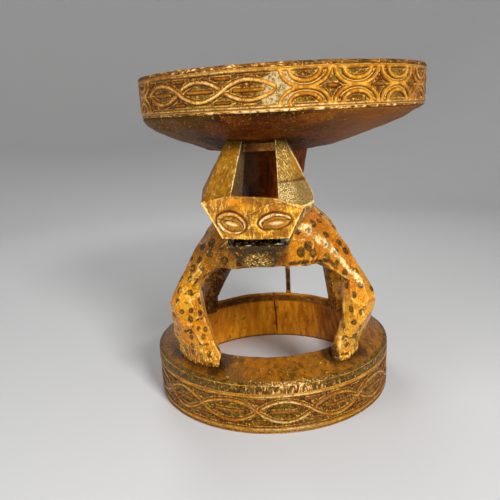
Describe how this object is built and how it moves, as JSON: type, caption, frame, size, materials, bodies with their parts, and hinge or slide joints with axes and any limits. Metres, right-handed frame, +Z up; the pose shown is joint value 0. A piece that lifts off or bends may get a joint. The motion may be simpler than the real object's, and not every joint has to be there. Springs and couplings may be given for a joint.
{
  "type": "carved leopard stool",
  "caption": "Round wooden stool: a carved leopard on an open ring base carries a seat with a carved band; one-log carving modelled as members.",
  "frame": {"origin": "on the floor below the centre of the seat, which is the bottom centre of the whole stool's box", "axes": "+Z up, +Y to the back (the leopard looks along -Y), +X to the viewer's right, which is the leopard's left"},
  "size_m": [0.357, 0.352, 0.409],
  "materials": {
    "pelt": "varnished golden wood with painted leopard spots",
    "face": "varnished golden wood with carved eyes",
    "ears": "varnished olive-gold wood, worn pale at the edges",
    "jaw": "dark varnished wood",
    "tail": "dark varnished wood",
    "pillar": "dark red-brown varnished wood",
    "bowl": "dark red-brown varnished wood with adze facets",
    "carved_rim": "varnished golden wood with a frieze carved in low relief on a dark ground",
    "carved_base": "varnished golden-brown wood with a frieze carved in low relief on a dark ground"
  },
  "bodies": {
    "root": {"base_ring": "carved_base", "front_left_foreleg": "pelt", "front_right_foreleg": "pelt", "rear_left_shank": "pelt", "rear_right_shank": "pelt", "front_left_upper_leg": "pelt", "front_right_upper_leg": "pelt", "rear_left_thigh": "pelt", "rear_right_thigh": "pelt", "torso": "pelt", "tail": "tail", "neck": "pelt", "head": "face", "lower_jaw": "jaw", "left_ear": "ears", "right_ear": "ears", "pillar": "pillar", "ear_lug": "pillar", "seat_bowl": "bowl", "seat_rim": "carved_rim"}
  },
  "joints": []
}
